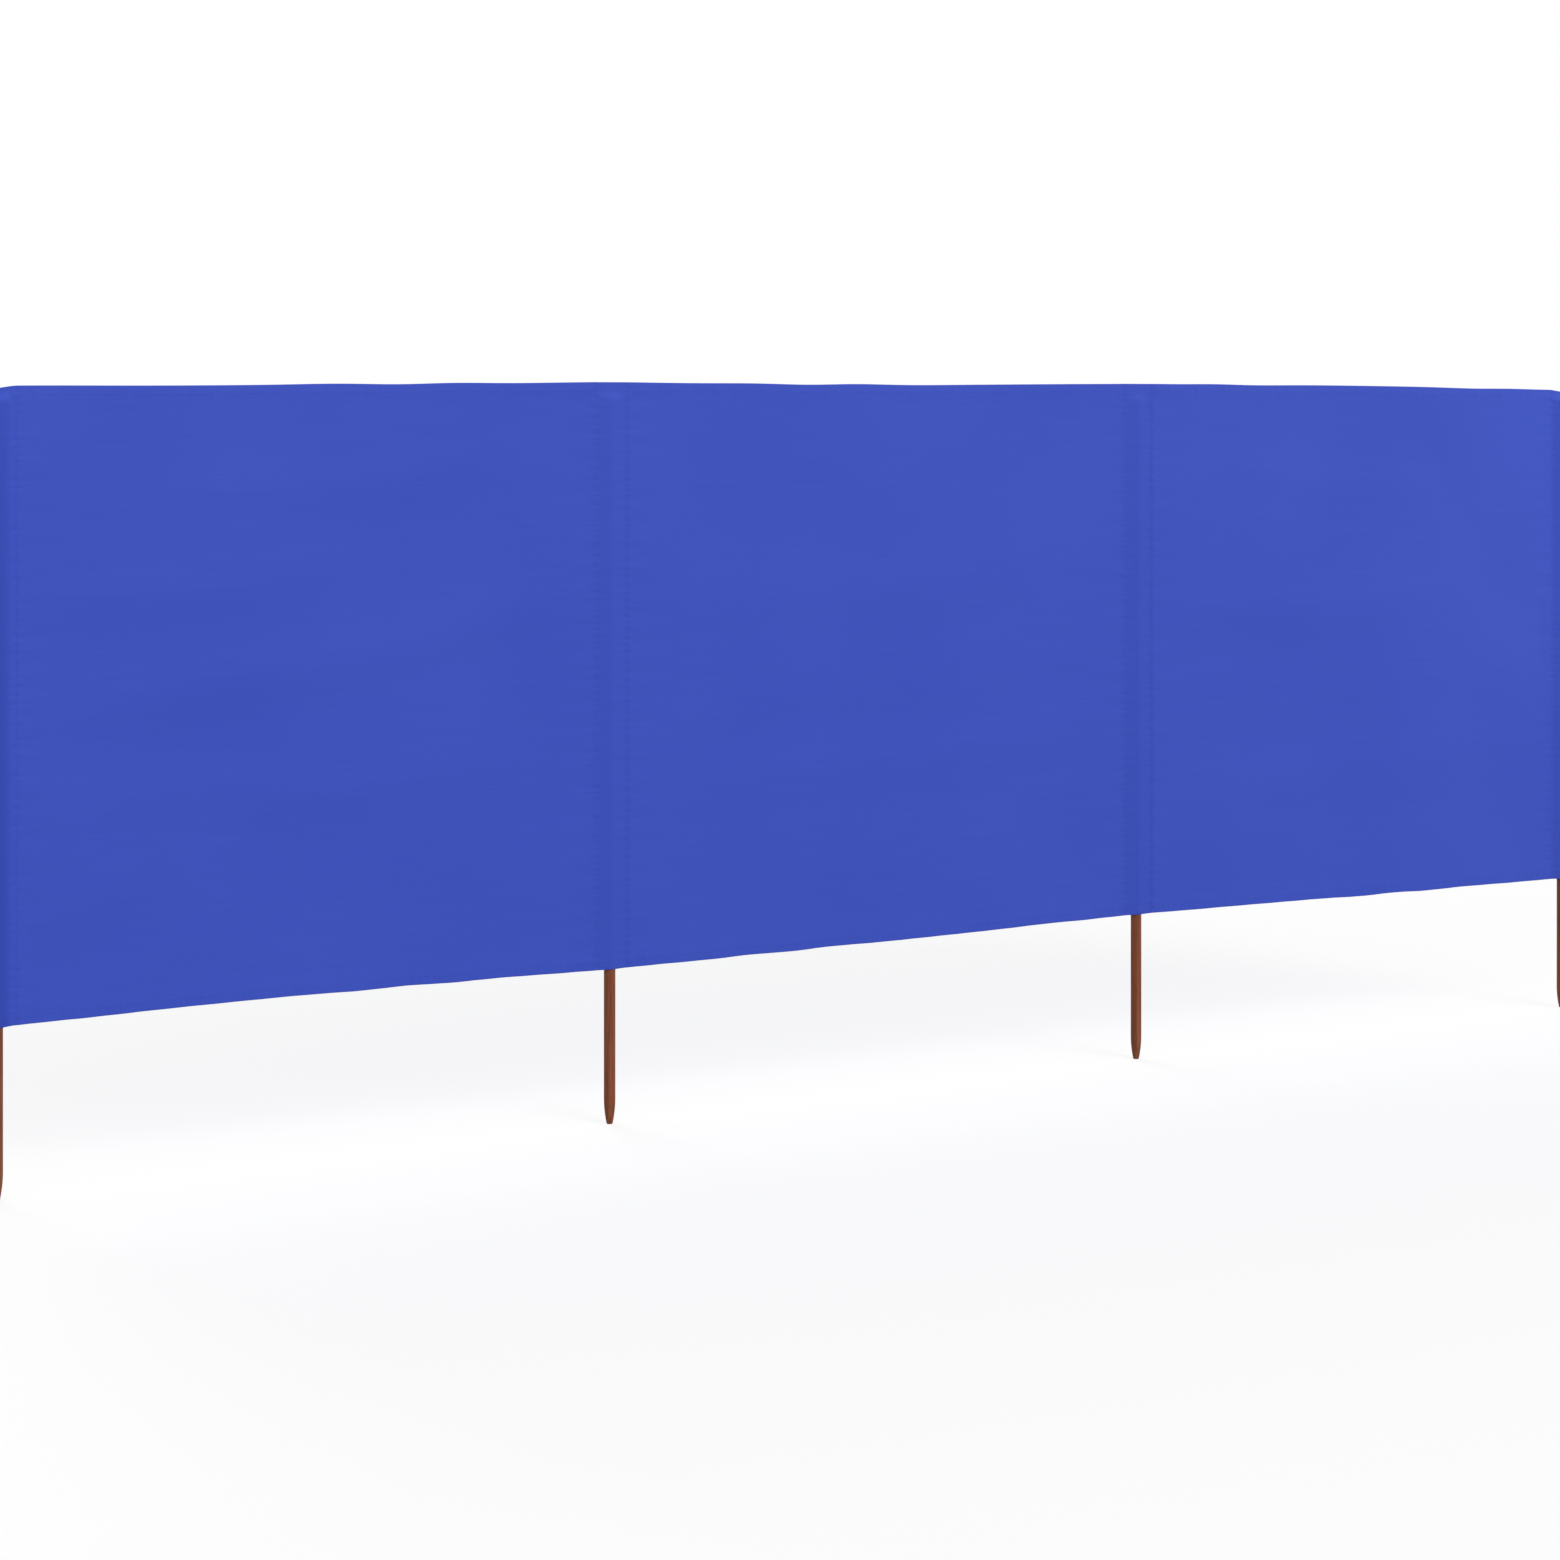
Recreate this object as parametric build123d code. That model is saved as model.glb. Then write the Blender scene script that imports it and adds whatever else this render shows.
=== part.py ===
# Fabric windbreak: three bays of cloth on four wooden poles that stand in a straight row.
# X runs along the row, Y to the back of the cloth and Z up.
# The origin is the middle of the left end pole's foot.
import os

from build123d import *

# The whole windbreak, in millimetres
sheet_length = 4000.0  # finished cloth, over both end poles
sheet_height = 1260.0  # finished cloth, at a pole
overall_height = 1600.0  # from the feet to the top edge of the cloth
middle_bay = 1360.0  # between the two inner poles

# Poles
pole_diameter = 25.0
point_length = 55.0
foot_diameter = 13.0  # the small flat at the end of the point
pole_top_round = 3.0

# Cloth
cloth_thickness = 1.0
hem_height = 20.0  # edge turned to the back and sewn down
top_sag = 5.0  # top edge, at the middle of a bay
bottom_rise = 4.0  # bottom edge, at the middle of a bay

# Pole pockets
pole_clearance = 0.3
inner_pole_setback = 8.0  # the inner poles stand behind the cloth
pocket_ease = 18.0  # spare cloth between the pole and its seam
seam_width = 10.0  # flat double cloth that carries the seam
shoulder_height = 12.0  # the cloth closes over the pole's top within this height

# Sizes that follow
pole_radius = pole_diameter / 2
foot_radius = foot_diameter / 2
pocket_radius = pole_radius + pole_clearance
wrap_radius = pocket_radius + cloth_thickness
seam_start = wrap_radius + pocket_ease
seam_end = seam_start + seam_width
sheet_bottom = overall_height - sheet_height
sewn_level = overall_height - hem_height  # the pocket is flat and sewn shut above this
pole_length = sewn_level - shoulder_height
row_length = sheet_length - 2 * wrap_radius
end_bay = (row_length - middle_bay) / 2
pole_places = [0, end_bay, end_bay + middle_bay, row_length]
last_pole = len(pole_places) - 1


# Wooden pole: a round bar with a rounded point, turned about its own axis
def make_pole():
    foot = Line((0, 0), (foot_radius, 0))
    point = TangentArc((pole_radius, point_length), (foot_radius, 0), tangent=(0, -1))
    bar = Line((pole_radius, point_length), (pole_radius, pole_length - pole_top_round))
    rim = RadiusArc(
        (pole_radius, pole_length - pole_top_round),
        (pole_radius - pole_top_round, pole_length),
        -pole_top_round,
    )
    top = Line((pole_radius - pole_top_round, pole_length), (0, pole_length))
    middle = Line((0, pole_length), (0, 0))
    profile = make_face([foot, point, bar, rim, top, middle])
    return revolve(Plane.XZ * profile, Axis.Z)


# Height profile of a pocket: upright walls that close to a flat sewn edge over the pole's top
def make_profile(front, back, layer, top_level):
    outline = Polyline(
        (front, sheet_bottom),
        (back, sheet_bottom),
        (back, pole_length),
        (layer, sewn_level),
        (layer, top_level),
        (-layer, top_level),
        (-layer, sewn_level),
        (front, pole_length),
        close=True,
    )
    return extrude(Plane.YZ * make_face(outline), seam_end, both=True)


# Room for the pole inside a pocket: the same form, one layer of cloth smaller
def make_hollow(front, back):
    outline = Polyline(
        (front, sheet_bottom),
        (back, sheet_bottom),
        (back, pole_length),
        (0, sewn_level),
        (front, pole_length),
        close=True,
    )
    return extrude(Plane.YZ * make_face(outline), seam_end, both=True)


# Pole pocket: cloth drawn tight round the pole, then flat to the seam on each side that has a panel
def make_pocket(sides, setback):
    outer_edges = [CenterArc((0, setback), wrap_radius, 0, 360)]
    inner_edges = [CenterArc((0, setback), pocket_radius, 0, 360)]
    for side in sides:
        seam = side * seam_start
        outer_edges.append(Line((seam, -cloth_thickness), (seam, cloth_thickness)))
        inner_edges.append(Line((0, 0), (seam, 0)))
    outer = make_hull(outer_edges)
    inner = make_hull(inner_edges)
    for side in sides:
        middle = side * (seam_start + seam_end) / 2
        outer += Pos(middle, 0) * Rectangle(seam_width, 2 * cloth_thickness)
    front = min(setback - wrap_radius, -cloth_thickness)
    back = setback + wrap_radius
    base = Pos(0, 0, sheet_bottom)
    sleeve = extrude(base * outer, sheet_height) & make_profile(front, back, cloth_thickness, overall_height)
    hollow = extrude(base * inner, sheet_height) & make_hollow(front + cloth_thickness, back - cloth_thickness)
    return sleeve - hollow


# Strip of cloth across a bay, with edges that bow between the poles
def make_strip(bay, low, low_bow, high, high_bow, depth):
    left = pole_places[bay] + seam_end
    right = pole_places[bay + 1] - seam_end
    middle = (left + right) / 2
    low_edge = ThreePointArc((left, low), (middle, low + low_bow), (right, low))
    high_edge = ThreePointArc((left, high), (middle, high + high_bow), (right, high))
    left_edge = Line((left, low), (left, high))
    right_edge = Line((right, low), (right, high))
    face = make_face([low_edge, right_edge, high_edge, left_edge])
    return extrude(Plane.XZ * face, depth)


os.makedirs("parts", exist_ok=True)

for number, place in enumerate(pole_places):
    is_end = number in (0, last_pole)
    setback = 0 if is_end else inner_pole_setback
    sides = [side for side, there in ((-1, number > 0), (1, number < last_pole)) if there]
    export_step(Pos(place, setback, 0) * make_pole(), f"parts/pole_{number + 1}.step")
    export_step(Pos(place, 0, 0) * make_pocket(sides, setback), f"parts/pocket_{number + 1}.step")

# The panel lies in front of Y zero, its turned edges behind
for bay in range(last_pole):
    panel = make_strip(bay, sheet_bottom, bottom_rise, overall_height, -top_sag, cloth_thickness)
    top_hem = make_strip(bay, sewn_level, -top_sag, overall_height, -top_sag, -cloth_thickness)
    hem_top = sheet_bottom + hem_height
    bottom_hem = make_strip(bay, sheet_bottom, bottom_rise, hem_top, bottom_rise, -cloth_thickness)
    export_step(panel, f"parts/panel_{bay + 1}.step")
    export_step(top_hem, f"parts/top_hem_{bay + 1}.step")
    export_step(bottom_hem, f"parts/bottom_hem_{bay + 1}.step")
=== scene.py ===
import math

import bpy
import numpy as np
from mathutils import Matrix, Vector


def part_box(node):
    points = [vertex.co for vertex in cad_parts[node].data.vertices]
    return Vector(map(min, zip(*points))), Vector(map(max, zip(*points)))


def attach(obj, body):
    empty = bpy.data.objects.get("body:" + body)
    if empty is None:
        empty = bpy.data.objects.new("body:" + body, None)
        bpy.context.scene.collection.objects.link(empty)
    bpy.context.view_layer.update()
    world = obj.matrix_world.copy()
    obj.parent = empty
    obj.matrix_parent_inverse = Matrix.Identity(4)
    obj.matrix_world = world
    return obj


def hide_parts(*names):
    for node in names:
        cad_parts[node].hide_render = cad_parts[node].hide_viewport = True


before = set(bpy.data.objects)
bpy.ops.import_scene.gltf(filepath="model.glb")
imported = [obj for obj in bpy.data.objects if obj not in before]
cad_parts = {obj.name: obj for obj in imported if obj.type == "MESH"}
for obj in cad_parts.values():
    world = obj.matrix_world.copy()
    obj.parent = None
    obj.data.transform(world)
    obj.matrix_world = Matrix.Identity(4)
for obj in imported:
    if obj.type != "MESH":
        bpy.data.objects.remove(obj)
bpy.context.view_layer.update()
print("frame loaded with", len(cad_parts), "nodes")

# places read from the frame, in metres
poleCount = sum(name.startswith("pole_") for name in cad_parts)
bayCount = poleCount - 1
poleBoxes = [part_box(f"pole_{number + 1}") for number in range(poleCount)]
pocketBoxes = [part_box(f"pocket_{number + 1}") for number in range(poleCount)]
poleX = [(low.x + high.x) / 2 for low, high in poleBoxes]
poleY = [(low.y + high.y) / 2 for low, high in poleBoxes]
poleRadius = (poleBoxes[0][1].x - poleBoxes[0][0].x) / 2
poleTop = poleBoxes[0][1].z
clothLow = pocketBoxes[0][0].z
clothHigh = pocketBoxes[0][1].z
clothHeight = clothHigh - clothLow
seamEnd = (pocketBoxes[1][1].x - pocketBoxes[1][0].x) / 2  # from a pole's middle to its seam's far side

fullTurn = 2 * math.pi
white = (1, 1, 1, 1)


# the usual sRGB curve
def linearColour(hexColour):
    parts = [int(hexColour[at:at + 2], 16) / 255 for at in (1, 3, 5)]
    linear = [part / 12.92 if part <= 0.04045 else ((part + 0.055) / 1.055) ** 2.4 for part in parts]
    return (*linear, 1.0)


def addNode(tree, kind, feeds=None, **settings):
    node = tree.nodes.new(kind)
    for name, value in settings.items():
        setattr(node, name, value)
    for socket, source in (feeds or {}).items():
        if isinstance(source, bpy.types.NodeSocket):
            tree.links.new(source, node.inputs[socket])
        else:
            node.inputs[socket].default_value = source
    return node


def smoothStep(share):
    share = np.clip(share, 0, 1)
    return share * share * (3 - 2 * share)


# how far along a line of points each point lies
def runLengths(points):
    return np.r_[0, np.cumsum(np.linalg.norm(np.diff(points, axis=0), axis=1))]


def addObject(name, data):
    piece = bpy.data.objects.new(name, data)
    bpy.context.scene.collection.objects.link(piece)
    return piece


def newMaterial(name):
    material = bpy.data.materials.new(name)
    material.use_nodes = True
    material.node_tree.nodes.clear()
    return material, material.node_tree


# camera: level, at eye height, looking along the row from its left end
cameraDials = {
    "place": (-1.123, -5.659, 1.560),
    "turn": -26.61,  # degrees from straight at the cloth
    "lens": 65.62,
    "sensor": 36.0,
    "shiftX": 0.0007,
    "shiftY": -0.2418,  # keeps the poles upright while the frame looks down
    "farthest": 200.0,  # past the far side of the floor
}
cameraData = bpy.data.cameras.new("camera")
cameraData.lens = cameraDials["lens"]
cameraData.sensor_width = cameraDials["sensor"]
cameraData.shift_x = cameraDials["shiftX"]
cameraData.shift_y = cameraDials["shiftY"]
cameraData.clip_end = cameraDials["farthest"]
camera = addObject("camera", cameraData)
camera.location = cameraDials["place"]
camera.rotation_euler = (math.radians(90), 0, math.radians(cameraDials["turn"]))
bpy.context.scene.camera = camera
bpy.context.scene.view_settings.view_transform = "Standard"
print("camera set")


# woven polyester: matte piece-dyed cloth, an even blue with hardly any thick threads and a fine plain
# weave, puckered along its sewing lines, with painted shade in a deeper blue round the poles
polyesterDials = {
    "blue": "#384FBD",
    "deepBlue": "#354CBA",
    "paleBlue": "#3B52C0",
    # painted shade: the deeper blue that the cloth is mixed towards beside the poles
    "paintedShadeBlue": "#2D44AE",
    "thread": 0.0016,  # real threads are near 0.5 mm, drawn coarser so that a close view shows the weave
    "weaveHeight": 0.0001,
    "weaveShade": 0.94,  # colour in the gaps between threads, as a share
    "slubLength": 0.22,  # a thicker or thinner thread shows as a faint line
    "slubWidth": 0.005,
    "cloud": 0.45,  # size of the faint patches that dyeing leaves
    "puckerHeight": 0.0016,
    "puckerWidth": 0.011,
    "puckerLength": 0.034,
    "roughness": 0.72,
    "specular": 0.25,
    "sheen": 0.04,
    "sheenRoughness": 0.5,
}
waveBand = fullTurn / 20  # length of one band of Blender's wave texture at a scale of 1


def wovenPolyester(dials):
    material, tree = newMaterial("woven_polyester_matte")
    cloth = addNode(tree, "ShaderNodeUVMap", uv_map="clothMetres").outputs["UV"]

    # plain weave: both waves swing half up and half down, so their product swings a quarter each way
    waveScale = waveBand / (2 * dials["thread"])  # one band is two threads
    warp = addNode(tree, "ShaderNodeTexWave", {"Vector": cloth, "Scale": waveScale}, bands_direction="X")
    weft = addNode(tree, "ShaderNodeTexWave", {"Vector": cloth, "Scale": waveScale}, bands_direction="Y")
    warpSwing = addNode(tree, "ShaderNodeMath", {0: warp.outputs["Fac"], 1: 0.5}, operation="SUBTRACT")
    weftSwing = addNode(tree, "ShaderNodeMath", {0: weft.outputs["Fac"], 1: 0.5}, operation="SUBTRACT")
    weave = addNode(tree, "ShaderNodeMath", {
        0: warpSwing.outputs[0], 1: weftSwing.outputs[0]}, operation="MULTIPLY")

    # dye: two noises near one half each, so their sum lies about one
    slubScale = (1 / dials["slubLength"], 1 / dials["slubWidth"], 1)
    slubPlace = addNode(tree, "ShaderNodeMapping", {"Vector": cloth, "Scale": slubScale})
    slub = addNode(tree, "ShaderNodeTexNoise", {
        "Vector": slubPlace.outputs[0], "Scale": 1.0, "Detail": 2.0})
    cloud = addNode(tree, "ShaderNodeTexNoise", {
        "Vector": cloth, "Scale": 1 / dials["cloud"], "Detail": 1.0})
    blend = addNode(tree, "ShaderNodeMath", {
        0: slub.outputs["Fac"], 1: cloud.outputs["Fac"]}, operation="ADD")
    tone = addNode(tree, "ShaderNodeMapRange", {
        "Value": blend.outputs[0], "From Min": 0.5, "From Max": 1.5})
    ramp = addNode(tree, "ShaderNodeValToRGB", {"Fac": tone.outputs[0]})
    ramp.color_ramp.elements[0].color = linearColour(dials["deepBlue"])
    ramp.color_ramp.elements[1].color = linearColour(dials["paleBlue"])
    ramp.color_ramp.elements.new(0.5).color = linearColour(dials["blue"])

    # inputs 6 and 7 and output 2 of a Mix node are its colours
    # painted shade: an attribute on the cloth mixes its dyed blue towards a deeper blue beside the poles
    paintedShade = addNode(tree, "ShaderNodeAttribute", attribute_name="paintedShade")
    dyeAndShade = addNode(tree, "ShaderNodeMix", {
        0: paintedShade.outputs["Fac"], 6: ramp.outputs["Color"], 7: linearColour(dials["paintedShadeBlue"])},
        data_type="RGBA")
    gaps = addNode(tree, "ShaderNodeMapRange", {
        "Value": weave.outputs[0], "From Min": -0.25, "From Max": 0.25,
        "To Min": dials["weaveShade"], "To Max": 2 - dials["weaveShade"]})
    woven = addNode(tree, "ShaderNodeMix", {
        0: 1.0, 6: dyeAndShade.outputs[2], 7: gaps.outputs[0]}, data_type="RGBA", blend_type="MULTIPLY")

    # puckers lie across the sewing line that draws them up
    height = addNode(tree, "ShaderNodeMath", {
        0: weave.outputs[0], 1: dials["weaveHeight"]}, operation="MULTIPLY")
    for pull, alongU, alongV in (("seamPull", dials["puckerLength"], dials["puckerWidth"]),
                                 ("hemPull", dials["puckerWidth"], dials["puckerLength"])):
        place = addNode(tree, "ShaderNodeMapping", {"Vector": cloth, "Scale": (1 / alongU, 1 / alongV, 1)})
        pucker = addNode(tree, "ShaderNodeTexNoise", {
            "Vector": place.outputs[0], "Scale": 1.0, "Detail": 0.0})
        pulled = addNode(tree, "ShaderNodeAttribute", attribute_name=pull)
        drawn = addNode(tree, "ShaderNodeMath", {
            0: pucker.outputs["Fac"], 1: pulled.outputs["Fac"]}, operation="MULTIPLY")
        height = addNode(tree, "ShaderNodeMath", {
            0: drawn.outputs[0], 1: dials["puckerHeight"], 2: height.outputs[0]}, operation="MULTIPLY_ADD")
    bump = addNode(tree, "ShaderNodeBump", {"Height": height.outputs[0], "Distance": 1.0})
    shader = addNode(tree, "ShaderNodeBsdfPrincipled", {
        "Base Color": woven.outputs[2],
        "Roughness": dials["roughness"],
        "Specular IOR Level": dials["specular"],
        "Sheen Weight": dials["sheen"],
        "Sheen Roughness": dials["sheenRoughness"],
        "Normal": bump.outputs["Normal"],
    })
    addNode(tree, "ShaderNodeOutputMaterial", {"Surface": shader.outputs[0]})
    return material


# polyester sewing thread: twisted and a little glossier than the cloth, dyed to match
threadDials = {
    "blue": "#4157C4",
    "deepBlue": "#3146A6",
    "twist": 0.0011,
    "roughness": 0.5,
    "specular": 0.3,
}


def sewingThread(dials):
    material, tree = newMaterial("polyester_sewing_thread")
    place = addNode(tree, "ShaderNodeTexCoord").outputs["Object"]
    twist = addNode(tree, "ShaderNodeTexNoise", {
        "Vector": place, "Scale": 1 / dials["twist"], "Detail": 1.0})
    tone = addNode(tree, "ShaderNodeValToRGB", {"Fac": twist.outputs["Fac"]})
    tone.color_ramp.elements[0].color = linearColour(dials["deepBlue"])
    tone.color_ramp.elements[1].color = linearColour(dials["blue"])
    shader = addNode(tree, "ShaderNodeBsdfPrincipled", {
        "Base Color": tone.outputs["Color"],
        "Roughness": dials["roughness"],
        "Specular IOR Level": dials["specular"],
    })
    addNode(tree, "ShaderNodeOutputMaterial", {"Surface": shader.outputs[0]})
    return material


# stained softwood: a turned pole dipped in brown stain, with darker summer grain along its length
softwoodDials = {
    "brown": "#824A31",
    "darkGrain": "#663825",
    "paleGrain": "#93583F",
    "grainSpread": (0.3, 0.5, 0.72),  # where dark, brown and pale lie in the noise
    "grainWidth": 0.0035,
    "grainLength": 0.17,
    "grainWaver": 0.6,
    "poreWidth": 0.0011,
    "poreLength": 0.035,
    "poreSpread": (0.3, 0.45),  # noise between these fades from a pore to clear wood
    "poreShade": 0.72,
    "poreDepth": 0.0002,
    "poreStrength": 0.5,
    "roughness": (0.67, 0.47),  # in the dark grain and in the pale
    "specular": 0.15,
}


def stainedSoftwood(dials):
    material, tree = newMaterial("stained_softwood_satin")
    place = addNode(tree, "ShaderNodeTexCoord").outputs["Object"]
    grainScale = (1 / dials["grainWidth"], 1 / dials["grainWidth"], 1 / dials["grainLength"])
    poreScale = (1 / dials["poreWidth"], 1 / dials["poreWidth"], 1 / dials["poreLength"])
    grainPlace = addNode(tree, "ShaderNodeMapping", {"Vector": place, "Scale": grainScale})
    porePlace = addNode(tree, "ShaderNodeMapping", {"Vector": place, "Scale": poreScale})
    grain = addNode(tree, "ShaderNodeTexNoise", {
        "Vector": grainPlace.outputs[0], "Scale": 1.0, "Detail": 3.0, "Distortion": dials["grainWaver"]})
    pore = addNode(tree, "ShaderNodeTexNoise", {
        "Vector": porePlace.outputs[0], "Scale": 1.0, "Detail": 2.0})
    darkAt, brownAt, paleAt = dials["grainSpread"]
    ramp = addNode(tree, "ShaderNodeValToRGB", {"Fac": grain.outputs["Fac"]})
    ramp.color_ramp.elements[0].color = linearColour(dials["darkGrain"])
    ramp.color_ramp.elements[0].position = darkAt
    ramp.color_ramp.elements[1].color = linearColour(dials["paleGrain"])
    ramp.color_ramp.elements[1].position = paleAt
    ramp.color_ramp.elements.new(brownAt).color = linearColour(dials["brown"])
    poreFrom, poreTo = dials["poreSpread"]
    poreDark = addNode(tree, "ShaderNodeMapRange", {
        "Value": pore.outputs["Fac"], "From Min": poreFrom, "From Max": poreTo,
        "To Min": dials["poreShade"], "To Max": 1.0})
    colour = addNode(tree, "ShaderNodeMix", {
        0: 1.0, 6: ramp.outputs["Color"], 7: poreDark.outputs[0]}, data_type="RGBA", blend_type="MULTIPLY")
    bump = addNode(tree, "ShaderNodeBump", {
        "Height": pore.outputs["Fac"], "Distance": dials["poreDepth"], "Strength": dials["poreStrength"]})
    darkRough, paleRough = dials["roughness"]
    rough = addNode(tree, "ShaderNodeMapRange", {
        "Value": grain.outputs["Fac"], "To Min": darkRough, "To Max": paleRough})
    shader = addNode(tree, "ShaderNodeBsdfPrincipled", {
        "Base Color": colour.outputs[2],
        "Roughness": rough.outputs[0],
        "Specular IOR Level": dials["specular"],
        "Normal": bump.outputs["Normal"],
    })
    addNode(tree, "ShaderNodeOutputMaterial", {"Surface": shader.outputs[0]})
    return material


clothMaterial = wovenPolyester(polyesterDials)
threadMaterial = sewingThread(threadDials)
woodMaterial = stainedSoftwood(softwoodDials)
print("materials made")


def newTree(name, sockets):
    tree = bpy.data.node_groups.new(name, "GeometryNodeTree")
    for socketName, kind in sockets:
        tree.interface.new_socket(socketName, in_out="INPUT", socket_type="NodeSocket" + kind)
    tree.interface.new_socket("Made", in_out="OUTPUT", socket_type="NodeSocketGeometry")
    return tree, addNode(tree, "NodeGroupInput").outputs


# a mesh run through a node tree and kept as a plain mesh, with the tree's sizes given by socket name
def grownPiece(name, mesh, tree, sizes):
    piece = addObject(name, mesh)
    modifier = piece.modifiers.new("nodes", "NODES")
    modifier.node_group = tree
    for socket in tree.interface.items_tree:
        if socket.in_out == "INPUT" and socket.name in sizes:
            modifier[socket.identifier] = sizes[socket.name]
    bpy.context.view_layer.update()
    grown = bpy.data.meshes.new_from_object(piece.evaluated_get(bpy.context.evaluated_depsgraph_get()))
    piece.modifiers.remove(modifier)
    piece.data = grown
    grown.name = name
    bpy.data.meshes.remove(mesh)
    return piece


# poles: turned round bars with a blunt rounded point and a small flat foot
poleDials = {
    "pointLength": 0.055,
    "footRadius": 0.0065,
    "footEdge": 0.0009,
    "topRound": 0.003,
    "unevenness": 0.0005,  # turned wood is never quite true
    "swells": (60.0, 60.0, 4.0),  # to the metre, across and along the pole
    "flatEnd": 0.95,  # faces that look this much up or down are the flat ends
    "sides": 40,
    "footRings": (0, 0.1, 0.3, 0.6, 1),  # rings of each part, as shares of its length
    "pointRings": (0.04, 0.09, 0.16, 0.24, 0.34, 0.45, 0.58, 0.72, 0.86, 1),
    "barRings": 33,
    "topRings": (0.7, 0.4, 0.15, 0),
}


def turnedPole():
    tree, given = newTree("turned_pole", [
        ("Axis", "Geometry"), ("Radius", "Float"), ("Height", "Float"), ("Point Length", "Float"),
        ("Point Arc", "Float"), ("Foot Edge", "Float"), ("Top Round", "Float"), ("Unevenness", "Float"),
        ("Sides", "Int"), ("Wood", "Material")])

    # how far the side draws in where an arc of this radius rounds an end off
    def drawIn(distance, reach, arc):
        along = addNode(tree, "ShaderNodeClamp", {"Value": distance, "Min": 0.0, "Max": reach}).outputs[0]
        square = addNode(tree, "ShaderNodeMath", {0: along, 1: along}, operation="MULTIPLY").outputs[0]
        whole = addNode(tree, "ShaderNodeMath", {0: arc, 1: arc}, operation="MULTIPLY").outputs[0]
        left = addNode(tree, "ShaderNodeMath", {0: whole, 1: square}, operation="SUBTRACT").outputs[0]
        root = addNode(tree, "ShaderNodeMath", {0: left}, operation="SQRT").outputs[0]
        return addNode(tree, "ShaderNodeMath", {0: arc, 1: root}, operation="SUBTRACT").outputs[0]

    place = addNode(tree, "GeometryNodeInputPosition").outputs[0]
    level = addNode(tree, "ShaderNodeSeparateXYZ", {0: place}).outputs["Z"]
    toPoint = addNode(tree, "ShaderNodeMath", {0: given["Point Length"], 1: level}, operation="SUBTRACT")
    toFoot = addNode(tree, "ShaderNodeMath", {0: given["Foot Edge"], 1: level}, operation="SUBTRACT")
    shoulder = addNode(tree, "ShaderNodeMath", {
        0: given["Height"], 1: given["Top Round"]}, operation="SUBTRACT")
    toTop = addNode(tree, "ShaderNodeMath", {0: level, 1: shoulder.outputs[0]}, operation="SUBTRACT")
    radius = given["Radius"]
    for distance, reach, arc in ((toPoint, "Point Length", "Point Arc"), (toFoot, "Foot Edge", "Foot Edge"),
                                 (toTop, "Top Round", "Top Round")):
        drawn = drawIn(distance.outputs[0], given[reach], given[arc])
        radius = addNode(tree, "ShaderNodeMath", {0: radius, 1: drawn}, operation="SUBTRACT").outputs[0]
    axis = addNode(tree, "GeometryNodeMeshToCurve", {"Mesh": given["Axis"]})
    ring = addNode(tree, "GeometryNodeCurvePrimitiveCircle", {"Resolution": given["Sides"], "Radius": 1.0})
    bar = addNode(tree, "GeometryNodeCurveToMesh", {
        "Curve": axis.outputs[0], "Profile Curve": ring.outputs[0], "Scale": radius, "Fill Caps": True})

    # the side swells a little in and out, the flat ends stay
    stretched = addNode(tree, "ShaderNodeVectorMath", {
        0: place, 1: poleDials["swells"]}, operation="MULTIPLY")
    swell = addNode(tree, "ShaderNodeTexNoise", {
        "Vector": stretched.outputs[0], "Scale": 1.0, "Detail": 1.0})
    swing = addNode(tree, "ShaderNodeMath", {0: swell.outputs["Fac"], 1: 0.5}, operation="SUBTRACT")
    push = addNode(tree, "ShaderNodeMath", {
        0: swing.outputs[0], 1: given["Unevenness"]}, operation="MULTIPLY")
    outward = addNode(tree, "GeometryNodeInputNormal").outputs["Normal"]
    sideways = addNode(tree, "ShaderNodeVectorMath", {
        0: outward, 1: (1.0, 1.0, 0.0)}, operation="MULTIPLY")
    offset = addNode(tree, "ShaderNodeVectorMath", {
        0: sideways.outputs[0], "Scale": push.outputs[0]}, operation="SCALE")
    uneven = addNode(tree, "GeometryNodeSetPosition", {
        "Geometry": bar.outputs[0], "Offset": offset.outputs[0]})
    rise = addNode(tree, "ShaderNodeSeparateXYZ", {0: outward}).outputs["Z"]
    steep = addNode(tree, "ShaderNodeMath", {0: rise}, operation="ABSOLUTE")
    curved = addNode(tree, "FunctionNodeCompare", {
        0: steep.outputs[0], 1: poleDials["flatEnd"]}, operation="LESS_THAN")
    shaded = addNode(tree, "GeometryNodeSetShadeSmooth", {
        "Geometry": uneven.outputs[0], "Shade Smooth": curved.outputs[0]})
    single = addNode(tree, "GeometryNodeRealizeInstances", {"Geometry": shaded.outputs[0]})
    finished = addNode(tree, "GeometryNodeSetMaterial", {
        "Geometry": single.outputs[0], "Material": given["Wood"]})
    addNode(tree, "NodeGroupOutput", {0: finished.outputs[0]})
    return tree


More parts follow.
